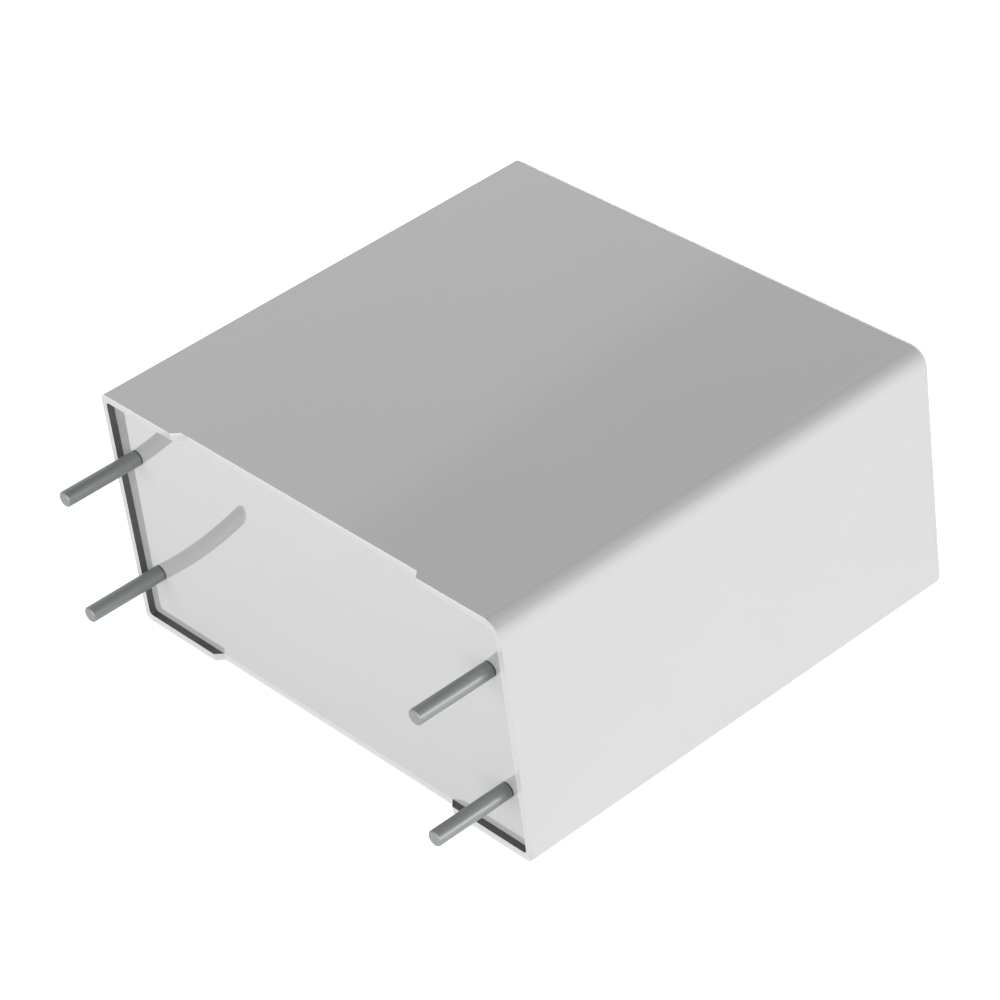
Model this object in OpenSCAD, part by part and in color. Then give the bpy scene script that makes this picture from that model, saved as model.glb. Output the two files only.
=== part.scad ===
// Box film capacitor with four wire leads.
// It lies on one broad side: X runs along its length, Y from the lead side to the
// closed end, and Z through its thickness. The origin is the middle of the four leads,
// on the plane of the standoff feet that seat on a circuit board. All sizes are in mm.

/* [Case] */
// Length of the moulded box, along X
case_length = 42; // [30:0.5:60]
// Height of the box above the board, along Y
case_height = 40; // [35:0.5:60]
// Thickness of the box, along Z
case_thickness = 20; // [18.5:0.5:30]
// Wall at the two narrow sides
end_wall = 0.5; // [0.4:0.05:0.75]
// Wall at the two broad sides
side_wall = 0.6; // [0.4:0.05:0.75]
// Wall across the closed end
floor_wall = 0.8; // [0.5:0.05:1.5]
// Radius of the box's outer edges
edge_radius = 0.5; // [0.2:0.05:0.65]
// Radius of the one broad edge, which marks the way round
marked_edge_radius = 1.5; // [1.4:0.1:3]
// Radius of the edges inside the box
inner_radius = 0.3; // [0.1:0.05:0.3]

/* [Standoff feet] */
// Height of a foot above the rim between the feet
foot_height = 0.55; // [0.3:0.05:1.5]
// How far a foot runs along each broad side
foot_length = 8; // [3:0.5:15]
// How far the slanted end of a foot runs on
foot_slant = 0.55; // [0:0.05:2]

/* [Potting resin] */
// How far the resin lies under the rim between the feet
resin_drop = 0; // [0:0.05:0.5]
// Resin over the winding at the lead side
resin_cover = 2.6; // [1:0.1:5]
// Resin between the winding and the closed end
resin_end_gap = 1.2; // [0.2:0.1:3]
// Resin between the winding and each broad side
resin_side_gap = 0.7; // [0.2:0.1:2]

/* [End contacts] */
// Thickness of the zinc sprayed on each end of the winding
spray_thickness = 0.5; // [0.2:0.05:1]
// Bare edge of the winding left round the zinc
spray_margin = 0.3; // [0.1:0.05:1]
// How deep a lead is pressed into the zinc
lead_seat = 0.1; // [0.05:0.05:0.15]

/* [Leads] */
// Diameter of a lead below the box
lead_diameter = 1.2; // [0.6:0.05:1.4]
// Thickness of the tin that dipping leaves on the free part
dip_thickness = 0.01; // [0.005:0.005:0.03]
// Wire left undipped below the resin
dip_gap = 0.5; // [0.1:0.1:2]
// Distance from each narrow side to the middle of its leads
lead_inset = 2.25; // [1.75:0.05:6]
// Distance between the leads through the thickness
lead_row_pitch = 10.2; // [7.5:0.1:11.5]
// Length that stands out below the feet
lead_length = 6; // [3:0.5:25]
// Bevel on the cut end
lead_bevel = 0.08; // [0.02:0.01:0.2]

/* [Solder joints] */
// Height of the middle of the joint above the feet
joint_height = 13; // [11:0.5:18]
// Length of wire that the joint holds
joint_length = 5; // [3:0.5:7]
// Width of the joint on the zinc
joint_width = 3.4; // [2.6:0.1:4]
// Solder over the wire
joint_cover = 0.2; // [0.1:0.05:0.4]

/* [Hidden] */
$fn = 48;

// How far a cut runs past the face that it opens
over = 1;

cavity_length = case_length - 2 * end_wall;
cavity_thickness = case_thickness - 2 * side_wall;
cavity_end = case_height - floor_wall;
marked_inner_radius = marked_edge_radius - max(end_wall, side_wall);
resin_level = foot_height + resin_drop;

// The leads touch the ends of the winding, so their pitch sets the width of the film
wire_diameter = lead_diameter - 2 * dip_thickness;
dip_end = resin_level - dip_gap;
lead_pitch = case_length - 2 * lead_inset;
contact_face = (lead_pitch - wire_diameter) / 2 + lead_seat;
winding_length = 2 * (contact_face - spray_thickness);
winding_thickness = cavity_thickness - 2 * resin_side_gap;
winding_start = resin_level + resin_cover;
winding_height = cavity_end - resin_end_gap - winding_start;

// A joint is the part of a round-ended bar of solder that stands out of the zinc
joint_rise = wire_diameter - lead_seat + joint_cover;
joint_radius = (joint_rise + joint_width * joint_width / 4 / joint_rise) / 2;
joint_depth = joint_radius - joint_rise;

// Rectangle on the XZ plane with one corner, at high X and high Z, of its own radius
module section(length, thickness, radius, marked_radius) {
  x = length / 2;
  z = thickness / 2;
  difference() {
    square([length, thickness], center = true);
    for (corner = [[-1, -1], [1, -1], [-1, 1]])
      corner_waste([corner.x * x, corner.y * z], corner, radius);
    corner_waste([x, z], [1, 1], marked_radius);
  }
}

// What rounding takes off a corner that points to "side"
module corner_waste(point, side, radius) {
  if (radius > 0) translate(point - side * radius) difference() {
    translate(side * radius / 2) square(radius, center = true);
    circle(radius);
  }
}

// Stretch of a section along Y, from "start" to "end"
module along_height(start, end) {
  translate([0, end, 0]) rotate([90, 0, 0])
    linear_extrude(end - start) children();
}

// Box along Y with rounded edges and a rounded far end, flat and open to any cut at "start"
module tub(length, thickness, start, end, radius, marked_radius) {
  x = length / 2 - radius;
  z = thickness / 2 - radius;
  turn = marked_radius - radius;
  y = end - radius;
  along_height(start, y)
    section(length, thickness, radius, marked_radius);
  // The far end: an inset plate with a round bead of the same radius along its edge
  along_height(start, end)
    section(2 * x, 2 * z, 0, turn);
  for (side = [-1, 1]) {
    bead([side * x, y, -z], [side * x, y, side > 0 ? z - turn : z], radius);
    bead([-x, y, side * z], [side > 0 ? x - turn : x, y, side * z], radius);
  }
  for (corner = [[-x, -z], [x, -z], [-x, z]])
    translate([corner.x, y, corner.y]) sphere(radius);
  translate([x - turn, y, z - turn]) rotate([90, 0, 0])
    rotate_extrude(angle = 90) translate([turn, 0]) circle(radius);
}

// Straight bead between two points that share their height
module bead(from, to, radius) {
  run = to - from;
  translate(from) rotate(run.z != 0 ? [0, 0, 0] : [0, 90, 0])
    cylinder(r = radius, h = norm(run));
}

// Everything inside the case's walls, from "start" to the closed end
module cavity(start) {
  tub(cavity_length, cavity_thickness, start, cavity_end, inner_radius, marked_inner_radius);
}

// Cut that lowers the rim of both broad sides between the feet
module rim_cut() {
  reach = case_length / 2 - foot_length;
  translate([0, 0, -case_thickness / 2 - over])
    linear_extrude(case_thickness + 2 * over)
      polygon([
        [-reach - foot_slant * over / foot_height, -over],
        [reach + foot_slant * over / foot_height, -over],
        [reach - foot_slant, foot_height],
        [-reach + foot_slant, foot_height]
      ]);
}

module case() {
  color("gainsboro") difference() {
    tub(case_length, case_thickness, 0, case_height, edge_radius, marked_edge_radius);
    cavity(-over);
    rim_cut();
  }
}

// Flat oval outline of the pressed winding on the YZ plane, drawn in from its edge by "inset"
module winding_outline(inset) {
  radius = winding_thickness / 2 - inset;
  flat = winding_height - winding_thickness;
  translate([winding_start + winding_thickness / 2, 0]) {
    translate([0, -radius]) square([flat, 2 * radius]);
    circle(radius);
    translate([flat, 0]) circle(radius);
  }
}

// Slab of the winding's outline between two places along X
module oval_slab(start, end, inset) {
  translate([start, 0, 0]) rotate([90, 0, 90])
    linear_extrude(end - start) winding_outline(inset);
}

module film_winding() {
  color("whitesmoke")
    oval_slab(-winding_length / 2, winding_length / 2, 0);
}

// Zinc on one end of the winding, before the leads are pressed into it
module zinc_slab(side) {
  inner = side * winding_length / 2;
  outer = side * contact_face;
  oval_slab(min(inner, outer), max(inner, outer), spray_margin);
}

module end_contact(side) {
  color("slategray") difference() {
    zinc_slab(side);
    for (row = [-1, 1]) lead(side, row);
  }
}

// Straight wire, dipped in tin up to "dip_end", with a bevelled cut end below and its top
// end inside the solder
module lead(side, row) {
  radius = lead_diameter / 2;
  translate([side * lead_pitch / 2, 0, row * lead_row_pitch / 2])
    rotate([-90, 0, 0]) color("silver") {
      translate([0, 0, -lead_length])
        cylinder(r1 = radius - lead_bevel, r2 = radius, h = lead_bevel);
      translate([0, 0, lead_bevel - lead_length])
        cylinder(r = radius, h = lead_length - lead_bevel + dip_end);
      translate([0, 0, dip_end])
        cylinder(d = wire_diameter, h = joint_height + joint_length / 2 - dip_end);
    }
}

// Domed bar of solder on the end contact, before the wire is taken out of it
module solder_bar(side, row) {
  size = 2 * joint_radius;
  intersection() {
    translate([side * (contact_face - joint_depth), joint_height, row * lead_row_pitch / 2])
      rotate([90, 0, 0]) {
        cylinder(r = joint_radius, h = joint_length, center = true);
        for (end = [-1, 1])
          translate([0, 0, end * joint_length / 2]) sphere(joint_radius);
      }
    translate([side * (contact_face + size / 2), joint_height, row * lead_row_pitch / 2])
      cube([size, joint_length + 2 * size, 2 * size], center = true);
  }
}

module solder(side, row) {
  color("darkgray") difference() {
    solder_bar(side, row);
    lead(side, row);
  }
}

// The resin fills the case round everything that was set in it
module potting_resin() {
  color("ivory") difference() {
    cavity(resin_level);
    film_winding();
    for (side = [-1, 1]) {
      zinc_slab(side);
      for (row = [-1, 1]) {
        lead(side, row);
        solder_bar(side, row);
      }
    }
  }
}

case();
potting_resin();
film_winding();
end_contact(-1);  // end_contact_left
end_contact(1);  // end_contact_right
lead(-1, -1);  // lead_left_lower
lead(-1, 1);  // lead_left_upper
lead(1, -1);  // lead_right_lower
lead(1, 1);  // lead_right_upper
solder(-1, -1);  // solder_left_lower
solder(-1, 1);  // solder_left_upper
solder(1, -1);  // solder_right_lower
solder(1, 1);  // solder_right_upper
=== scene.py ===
# Box film capacitor: a moulded case filled with resin, standing out on four tinned leads.
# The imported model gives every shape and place; this script gives finishes, light and camera.
import math

import bpy
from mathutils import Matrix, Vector


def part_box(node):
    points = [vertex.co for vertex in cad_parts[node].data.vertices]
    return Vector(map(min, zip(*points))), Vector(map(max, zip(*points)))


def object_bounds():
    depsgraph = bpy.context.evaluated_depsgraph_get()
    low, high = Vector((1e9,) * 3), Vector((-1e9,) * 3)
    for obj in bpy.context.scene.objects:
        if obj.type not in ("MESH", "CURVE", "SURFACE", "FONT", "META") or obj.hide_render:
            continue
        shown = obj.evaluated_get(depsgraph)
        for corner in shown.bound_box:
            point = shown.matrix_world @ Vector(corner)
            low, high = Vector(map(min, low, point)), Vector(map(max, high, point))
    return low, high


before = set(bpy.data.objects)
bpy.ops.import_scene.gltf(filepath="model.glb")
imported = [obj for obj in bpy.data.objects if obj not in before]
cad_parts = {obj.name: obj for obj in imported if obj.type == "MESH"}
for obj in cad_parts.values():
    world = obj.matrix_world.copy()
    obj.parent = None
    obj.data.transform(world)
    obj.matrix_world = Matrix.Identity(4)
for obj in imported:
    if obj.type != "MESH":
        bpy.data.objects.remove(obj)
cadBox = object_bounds()
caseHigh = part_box("case")[1]
resinLow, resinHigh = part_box("potting_resin")
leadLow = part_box("lead_right_upper")[0]
print("stage: frame loaded with", len(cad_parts), "nodes")


# Small helpers for building finishes out of shader nodes

def newMaterial(name):
    # a material with an empty tree, and the socket that waits for its shader
    material = bpy.data.materials.new(name)
    material.use_nodes = True
    tree = material.node_tree
    tree.nodes.clear()
    return material, tree, tree.nodes.new("ShaderNodeOutputMaterial").inputs["Surface"]


def newFinish(name):
    material, tree, surface = newMaterial(name)
    shader = tree.nodes.new("ShaderNodeBsdfPrincipled")
    tree.links.new(shader.outputs["BSDF"], surface)
    return material, tree, shader


def setInputs(tree, node, inputs):
    for key, value in inputs.items():
        if isinstance(value, bpy.types.NodeSocket):
            tree.links.new(value, node.inputs[key])
        else:
            node.inputs[key].default_value = value


def addNode(tree, kind, inputs=None, **settings):
    node = tree.nodes.new(kind)
    for key, value in settings.items():
        setattr(node, key, value)
    setInputs(tree, node, inputs or {})
    return node


def calc(tree, operation, first, second=0.0):
    return addNode(tree, "ShaderNodeMath", {0: first, 1: second}, operation=operation).outputs[0]


def times(tree, *values):
    result = values[0]
    for value in values[1:]:
        result = calc(tree, "MULTIPLY", result, value)
    return result


def fade(tree, value, start, end, low=0.0, high=1.0):
    # low before start, high after end, with a smooth step between
    inputs = {"Value": value, "From Min": start, "From Max": end, "To Min": low, "To Max": high}
    return addNode(tree, "ShaderNodeMapRange", inputs, interpolation_type="SMOOTHSTEP").outputs["Result"]


def mixColors(tree, amount, first, second, blend="MIX"):
    # sockets 6, 7 and 2 of this node are its two colours and its result
    first, second = [(*color, 1.0) if isinstance(color, tuple) else color for color in (first, second)]
    inputs = {0: amount, 6: first, 7: second}
    return addNode(tree, "ShaderNodeMix", inputs, data_type="RGBA", blend_type=blend).outputs[2]


def shadeColor(tree, color, tone):
    grey = addNode(tree, "ShaderNodeCombineColor", {0: tone, 1: tone, 2: tone}).outputs[0]
    return mixColors(tree, 1.0, color, grey, "MULTIPLY")


def splitAxes(tree, vector):
    return addNode(tree, "ShaderNodeSeparateXYZ", {0: vector}).outputs


def placeOnPart(tree):
    place = addNode(tree, "ShaderNodeTexCoord").outputs["Object"]
    return place, splitAxes(tree, place)


def bumpFrom(tree, height, depth):
    return addNode(tree, "ShaderNodeBump", {"Distance": depth, "Height": height}).outputs["Normal"]


def finishNode(name, material):
    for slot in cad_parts[name].material_slots:
        slot.material = material


# Fine grain, shared by every finish: a tone round 1 for the colour and a height for the bump

fineGrain = {
    "detail": 3.0,
    "cloudsPerMetre": 90.0,
    "cloudDetail": 1.0,
}


def makeGrainGroup():
    group = bpy.data.node_groups.new("fineGrain", "ShaderNodeTree")
    for label, kind in (("Place", "Vector"), ("Grains per metre", "Float"), ("Tone spread", "Float")):
        group.interface.new_socket(label, in_out="INPUT", socket_type="NodeSocket" + kind)
    for label in ("Tone", "Height"):
        group.interface.new_socket(label, in_out="OUTPUT", socket_type="NodeSocketFloat")
    given = group.nodes.new("NodeGroupInput").outputs
    made = group.nodes.new("NodeGroupOutput").inputs
    fine = addNode(group, "ShaderNodeTexNoise", {
        "Vector": given["Place"],
        "Scale": given["Grains per metre"],
        "Detail": fineGrain["detail"],
    }).outputs["Fac"]
    clouds = addNode(group, "ShaderNodeTexNoise", {
        "Vector": given["Place"],
        "Scale": fineGrain["cloudsPerMetre"],
        "Detail": fineGrain["cloudDetail"],
    }).outputs["Fac"]
    both = times(group, calc(group, "ADD", fine, clouds), 0.5)
    spread = times(group, calc(group, "SUBTRACT", both, 0.5), given["Tone spread"])
    group.links.new(calc(group, "ADD", spread, 1.0), made["Tone"])
    group.links.new(fine, made["Height"])
    return group


grainGroup = makeGrainGroup()


def grain(tree, place, look):
    inputs = {"Place": place, "Grains per metre": look["grainsPerMetre"], "Tone spread": look["toneSpread"]}
    return addNode(tree, "ShaderNodeGroup", inputs, node_tree=grainGroup).outputs


print("stage: grain ready")


# Case: smooth light grey plastic, with painted shade inside the feet on the two walls away from the marked
# edge, a painted highlight on the outer edge of the long rims and painted shade round the middle of the
# marked edge

casePlastic = {
    "color": (0.585, 0.588, 0.585),
    # painted shade: the colour of the inner walls of the feet
    "paintedWallShade": (0.085, 0.086, 0.086),
    # painted highlight: the lighter colour on the outer edge of the long rims
    "paintedRimHighlight": (0.64, 0.643, 0.64),
    "roughness": 0.1,
    "ior": 1.5,
    "grainsPerMetre": 9000.0,
    "grainDepth": 0.0000012,
    "toneSpread": 0.05,
    "paintedHighlightStart": 0.0003,  # in from the outer face, where the painted highlight on a rim's edge starts
    "paintedHighlightEnd": 0.0001,
    "rimFacing": -0.5,  # a face whose normal points down past this is a rim
    "reach": 0.00003,  # how far a finish runs on past the face that it is for
    "wallReach": 0.0003,
    "markedRadius": 0.0015,
    "paintedEdgeShade": 0.15,  # painted shade: how much darker the middle of the marked edge is painted
    "paintedShadeScale": 2.6,  # brings the highest value of the middle to about 1
}


def facingBoard(tree):
    # 1 on the rims, which face the circuit board
    normal = addNode(tree, "ShaderNodeNewGeometry").outputs["Normal"]
    return calc(tree, "LESS_THAN", splitAxes(tree, normal)["Y"], casePlastic["rimFacing"])


def paintedShadeOnWalls(tree, x, y, z, rims):
    # 1 on the left and lower inner walls of the feet, in front of the resin, where shade is painted
    reach = casePlastic["reach"]
    wallReach = casePlastic["wallReach"]
    inLength = calc(tree, "LESS_THAN", calc(tree, "ABSOLUTE", x), resinHigh.x + reach)
    inThickness = calc(tree, "LESS_THAN", calc(tree, "ABSOLUTE", z), resinHigh.z + reach)
    inFoot = calc(tree, "LESS_THAN", y, resinLow.y + reach)
    leftWall = calc(tree, "LESS_THAN", x, resinLow.x + wallReach)
    lowerWall = calc(tree, "LESS_THAN", z, resinLow.z + wallReach)
    walls = times(tree, calc(tree, "MAXIMUM", leftWall, lowerWall), calc(tree, "SUBTRACT", 1.0, rims))
    return times(tree, inLength, inThickness, inFoot, walls)


def paintedRimHighlightMask(tree, z, rims):
    # 1 on the outer edge of the two long rims, where a highlight is painted
    start = caseHigh.z - casePlastic["paintedHighlightStart"]
    end = caseHigh.z - casePlastic["paintedHighlightEnd"]
    return times(tree, fade(tree, calc(tree, "ABSOLUTE", z), start, end), rims)


def alongRounding(tree, value, high):
    # 0 where the rounding of the marked edge starts, 1 at the outer face
    inputs = {"Value": value, "From Min": high - casePlastic["markedRadius"], "From Max": high}
    return addNode(tree, "ShaderNodeMapRange", inputs).outputs["Result"]


def paintedMarkedEdgeShade(tree, x, z, rims):
    # 1 away from the marked edge and on its rim, less round the middle of its rounding, where shade is
    # painted
    across = alongRounding(tree, x, caseHigh.x)
    upward = alongRounding(tree, z, caseHigh.z)
    offRim = calc(tree, "SUBTRACT", 1.0, rims)
    middle = times(tree, across, upward, upward, casePlastic["paintedShadeScale"], offRim)
    return calc(tree, "SUBTRACT", 1.0, times(tree, middle, casePlastic["paintedEdgeShade"]))


def makeCasePlastic():
    material, tree, shader = newFinish("mouldedCasePlastic")
    place, (x, y, z) = placeOnPart(tree)
    tone, height = grain(tree, place, casePlastic)
    rims = facingBoard(tree)
    # painted highlight: the outer edge of the long rims is lighter in the colour
    color = mixColors(tree, paintedRimHighlightMask(tree, z, rims), casePlastic["color"], casePlastic["paintedRimHighlight"])
    # painted shade: the inner walls of the feet are darkened in the colour
    color = mixColors(tree, paintedShadeOnWalls(tree, x, y, z, rims), color, casePlastic["paintedWallShade"])
    # painted shade: the middle of the marked edge's rounding is darker in the tone, and so in the colour
    tone = times(tree, tone, paintedMarkedEdgeShade(tree, x, z, rims))
    setInputs(tree, shader, {
        "Base Color": shadeColor(tree, color, tone),
        "Roughness": casePlastic["roughness"],
        "IOR": casePlastic["ior"],
        "Normal": bumpFrom(tree, height, casePlastic["grainDepth"]),
    })
    return material


finishNode("case", makeCasePlastic())
print("stage: case finished")


# Potting resin: pale, very glossy, and drawn up a little at the long walls as it set

pottingResin = {
    "color": (0.46, 0.465, 0.46),
    "roughness": 0.025,
    "ior": 1.56,
    "grainsPerMetre": 2500.0,
    "toneSpread": 0.03,
    "coatWeight": 1.0,
    "dishPerMetre": 4.95,  # rise at the long walls, for the square of the distance from the middle
}


def makePottingResin():
    material, tree, shader = newFinish("glossyPottingResin")
    place, axes = placeOnPart(tree)
    tone = grain(tree, place, pottingResin)["Tone"]
    dish = bumpFrom(tree, times(tree, axes["Z"], axes["Z"], pottingResin["dishPerMetre"]), 1.0)
    setInputs(tree, shader, {
        "Base Color": shadeColor(tree, pottingResin["color"], tone),
        "Roughness": pottingResin["roughness"],
        "IOR": pottingResin["ior"],
        "Normal": dish,
        "Coat Weight": pottingResin["coatWeight"],
        "Coat Roughness": pottingResin["roughness"],
        "Coat IOR": pottingResin["ior"],
        "Coat Normal": dish,
    })
    return material


finishNode("potting_resin", makePottingResin())
print("stage: resin finished")


# Leads: wire dipped in tin, cut bare at the end, with a thin ring of painted shade where they meet the
# resin

tinnedLead = {
    "color": (0.246, 0.265, 0.263),
    "cutColor": (0.27, 0.285, 0.28),
    # painted shade: the thin dark ring on the lead where it meets the resin
    "paintedRingShade": (0.07, 0.073, 0.075),
    "metallic": 0.3,
    "roughness": 0.41,
    "cutRoughness": 0.65,
    "grainsPerMetre": 14000.0,
    "grainDepth": 0.000002,
    "toneSpread": 0.3,
    "drawStretch": 0.05,  # the grain is drawn out along the wire
    "cutDepth": 0.00003,
    "ringShadeStart": 0.00019,  # below the resin, where the painted shade ring starts
    "ringShadeEnd": 0.00005,
}


def makeTinnedLead():
    material, tree, shader = newFinish("tinDippedWire")
    place, axes = placeOnPart(tree)
    stretch = {"Vector": place, "Scale": (1.0, tinnedLead["drawStretch"], 1.0)}
    drawn = addNode(tree, "ShaderNodeMapping", stretch).outputs["Vector"]
    tone, height = grain(tree, drawn, tinnedLead)
    cut = calc(tree, "LESS_THAN", axes["Y"], leadLow.y + tinnedLead["cutDepth"])
    ringShadeStart = resinLow.y - tinnedLead["ringShadeStart"]
    ringShadeEnd = resinLow.y - tinnedLead["ringShadeEnd"]
    # painted shade: a thin dark ring on the lead just below the resin
    paintedRingMask = fade(tree, axes["Y"], ringShadeStart, ringShadeEnd)
    color = mixColors(tree, paintedRingMask, tinnedLead["color"], tinnedLead["paintedRingShade"])
    color = mixColors(tree, cut, color, tinnedLead["cutColor"])
    setInputs(tree, shader, {
        "Base Color": shadeColor(tree, color, tone),
        "Metallic": tinnedLead["metallic"],
        "Roughness": fade(tree, cut, 0.0, 1.0, tinnedLead["roughness"], tinnedLead["cutRoughness"]),
        "Normal": bumpFrom(tree, height, tinnedLead["grainDepth"]),
    })
    return material


leadFinish = makeTinnedLead()
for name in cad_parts:
    if name.startswith("lead_"):
        finishNode(name, leadFinish)
print("stage: leads finished")


# Pieces sealed in the resin: each finish is for the nodes whose name starts as given

sealedPieces = {
    "woundFilm": {
        "nodes": "film_winding",
        "color": (0.7, 0.71, 0.74),
        "roughness": 0.25,
        "metallic": 0.0,
        "grainsPerMetre": 1500.0,
        "grainDepth": 0.00001,
        "toneSpread": 0.1,
    },
    "sprayedZinc": {
        "nodes": "end_contact",
        "color": (0.45, 0.46, 0.48),
        "roughness": 0.7,
        "metallic": 1.0,
        "grainsPerMetre": 4000.0,
        "grainDepth": 0.00001,
        "toneSpread": 0.4,
    },
    "tinSolder": {
        "nodes": "solder_",
        "color": (0.6, 0.61, 0.62),
        "roughness": 0.3,
        "metallic": 1.0,
        "grainsPerMetre": 900.0,
        "grainDepth": 0.00001,
        "toneSpread": 0.15,
    },
}


def makeSealedFinish(name, look):
    material, tree, shader = newFinish(name)
    place = placeOnPart(tree)[0]
    tone, height = grain(tree, place, look)
    setInputs(tree, shader, {
        "Base Color": shadeColor(tree, look["color"], tone),
        "Roughness": look["roughness"],
        "Metallic": look["metallic"],
        "Normal": bumpFrom(tree, height, look["grainDepth"]),
    })
    return material


for finishName, look in sealedPieces.items():
    material = makeSealedFinish(finishName, look)
    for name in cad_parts:
        if name.startswith(look["nodes"]):
            finishNode(name, material)
print("stage: sealed pieces finished")


# Studio: a white floor and sky, a wide lamp on three sides and a small one over the broad side

studio = {
    "floorSize": 6.0,
    "floorGap": 0.00002,  # keeps the floor off the underside of the case
    "floorColor": (0.8, 0.8, 0.8),
    "floorLift": 0.75,  # brightness that the floor adds for the camera and for reflections
    "skyColor": (1.0, 1.0, 1.0),
    "skyLight": 0.371,
    "ceilingStart": 0.68,  # the sky's reflection is dark overhead, above these heights
    "ceilingEnd": 0.77,
    "ceilingDrop": 0.3,  # how much lower the ceiling hangs on the right
    "ceilingLight": 0.1,
    "aim": (0.0, 0.02, 0.0),  # what the softboxes are turned to
}
softboxes = {
    "frontSoftbox": {"place": (0.2, -1.6, 0.28), "size": (1.2, 0.6), "power": 21.0},
    "sideSoftbox": {"place": (1.48, 0.22, 0.15), "size": (0.89, 0.3), "power": 15.2},
    "backSoftbox": {"place": (-0.4, 1.4, 0.21), "size": (2.0, 0.4), "power": 6.5},
}
overheadSoftbox = {  # hangs flat, and its mirrored edge parts the broad side into two tones
    "place": (-0.103, 0.078, 0.07),
    "size": (0.074, 0.11),
    "power": 0.0125,
    "turnDegrees": 4.8,
}


def seenRays(tree):
    # 1 for what is seen straight or mirrored, and 1 for what is seen straight alone
    rays = addNode(tree, "ShaderNodeLightPath").outputs
    mirrored = calc(tree, "MAXIMUM", rays["Is Glossy Ray"], rays["Is Transmission Ray"])
    return calc(tree, "MAXIMUM", rays["Is Camera Ray"], mirrored), rays["Is Camera Ray"]


def makeFloor():
    level = cadBox[0].z - studio["floorGap"]
    bpy.ops.mesh.primitive_plane_add(size=studio["floorSize"], location=(0.0, 0.0, level))
    floor = bpy.context.object
    floor.name = "studio_floor"
    bpy.ops.object.transform_apply(location=True)
    material, tree, surface = newMaterial("paleFloor")
    seen = seenRays(tree)[0]
    lift = addNode(tree, "ShaderNodeEmission", {"Strength": times(tree, seen, studio["floorLift"])})
    paint = addNode(tree, "ShaderNodeBsdfDiffuse", {"Color": (*studio["floorColor"], 1.0)})
    both = addNode(tree, "ShaderNodeAddShader", {0: paint.outputs[0], 1: lift.outputs[0]})
    tree.links.new(both.outputs[0], surface)
    floor.data.materials.append(material)


def makeSky():
    world = bpy.data.worlds.new("whiteSky")
    bpy.context.scene.world = world
    world.use_nodes = True
    tree = world.node_tree
    tree.nodes.clear()
    seen, straight = seenRays(tree)
    direction = splitAxes(tree, addNode(tree, "ShaderNodeTexCoord").outputs["Generated"])
    drop = times(tree, calc(tree, "MAXIMUM", direction["X"], 0.0), studio["ceilingDrop"])
    height = calc(tree, "ADD", direction["Z"], drop)
    ceiling = fade(tree, height, studio["ceilingStart"], studio["ceilingEnd"], 1.0, studio["ceilingLight"])
    white = calc(tree, "MAXIMUM", straight, ceiling)
    light = {"Value": seen, "To Min": studio["skyLight"], "To Max": white}
    sky = addNode(tree, "ShaderNodeBackground", {
        "Color": (*studio["skyColor"], 1.0),
        "Strength": addNode(tree, "ShaderNodeMapRange", light).outputs["Result"],
    })
    out = tree.nodes.new("ShaderNodeOutputWorld")
    tree.links.new(sky.outputs["Background"], out.inputs["Surface"])


def addSoftbox(name, lamp):
    bpy.ops.object.light_add(type="AREA", location=lamp["place"])
    box = bpy.context.object
    box.name = name
    box.data.shape = "RECTANGLE"
    box.data.size, box.data.size_y = lamp["size"]
    box.data.energy = lamp["power"]
    box.visible_camera = False
    return box


makeFloor()
makeSky()
for name, lamp in softboxes.items():
    way = Vector(studio["aim"]) - Vector(lamp["place"])
    addSoftbox(name, lamp).rotation_euler = way.to_track_quat("-Z", "Y").to_euler()
overhead = addSoftbox("overheadSoftbox", overheadSoftbox)
overhead.rotation_euler = (0.0, 0.0, math.radians(overheadSoftbox["turnDegrees"]))
print("stage: studio lit")


# Camera: above the right corner of the lead side, looking down on the leads and the broad side

camera = {
    "place": (0.17785, -0.11887, 0.15939),
    "turnDegrees": (54.369, 6.498, 47.853),
    "lens": 140.32,
    "sensorWidth": 36.0,
    "clipStart": 0.01,
    "clipEnd": 20.0,
}


def makeCamera():
    turn = [math.radians(angle) for angle in camera["turnDegrees"]]
    bpy.ops.object.camera_add(location=camera["place"], rotation=turn)
    eye = bpy.context.object
    eye.name = "productCamera"
    eye.data.sensor_width = camera["sensorWidth"]
    eye.data.lens = camera["lens"]
    eye.data.clip_start = camera["clipStart"]
    eye.data.clip_end = camera["clipEnd"]
    bpy.context.scene.camera = eye


makeCamera()
bpy.context.scene.view_settings.view_transform = "Standard"
print("stage: camera set")
